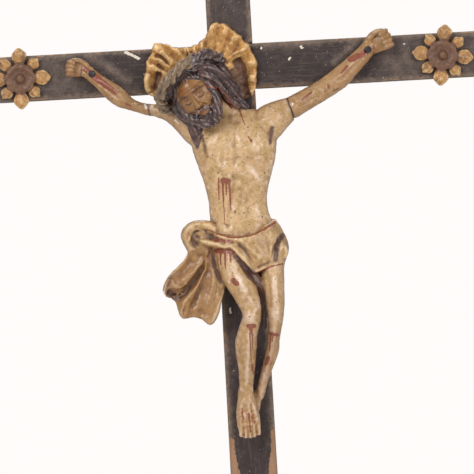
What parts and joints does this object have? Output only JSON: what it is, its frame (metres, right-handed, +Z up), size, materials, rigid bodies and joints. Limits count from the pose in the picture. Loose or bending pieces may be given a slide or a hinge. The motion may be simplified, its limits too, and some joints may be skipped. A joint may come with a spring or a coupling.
{
  "type": "wooden wall crucifix",
  "caption": "Old carved and painted wooden crucifix for a wall: black flat cross, gilded shell and rosettes, figure in a knotted loincloth with a crown of thorns.",
  "frame": {"origin": "on the flat back of the cross, behind the middle of the crossing, where it lies against the wall", "axes": "+Z up the upright, +X along the beam towards the figure's left hand (the viewer's right), +Y out of the back into the wall; the figure faces -Y"},
  "size_m": [0.33, 0.0642, 0.474],
  "materials": {
    "black_wood": "black paint, worn and dusty, with chips down to pale wood along the edges",
    "gilded_wood": "matt gilding over reddish brown bole, which shows in the hollows",
    "painted_flesh": "satin flesh paint, yellowed and speckled, with crimson wounds and dark hair",
    "iron": "blue-black forged iron, slightly glossy on the domed heads"
  },
  "bodies": {
    "root": {"upright": "black_wood", "beam": "black_wood", "shell": "gilded_wood", "rosette_right": "gilded_wood", "rosette_left": "gilded_wood", "rosette_top": "gilded_wood", "corpus": "painted_flesh", "arm_right": "painted_flesh", "arm_left": "painted_flesh", "nail_right": "iron", "nail_left": "iron"}
  },
  "joints": []
}
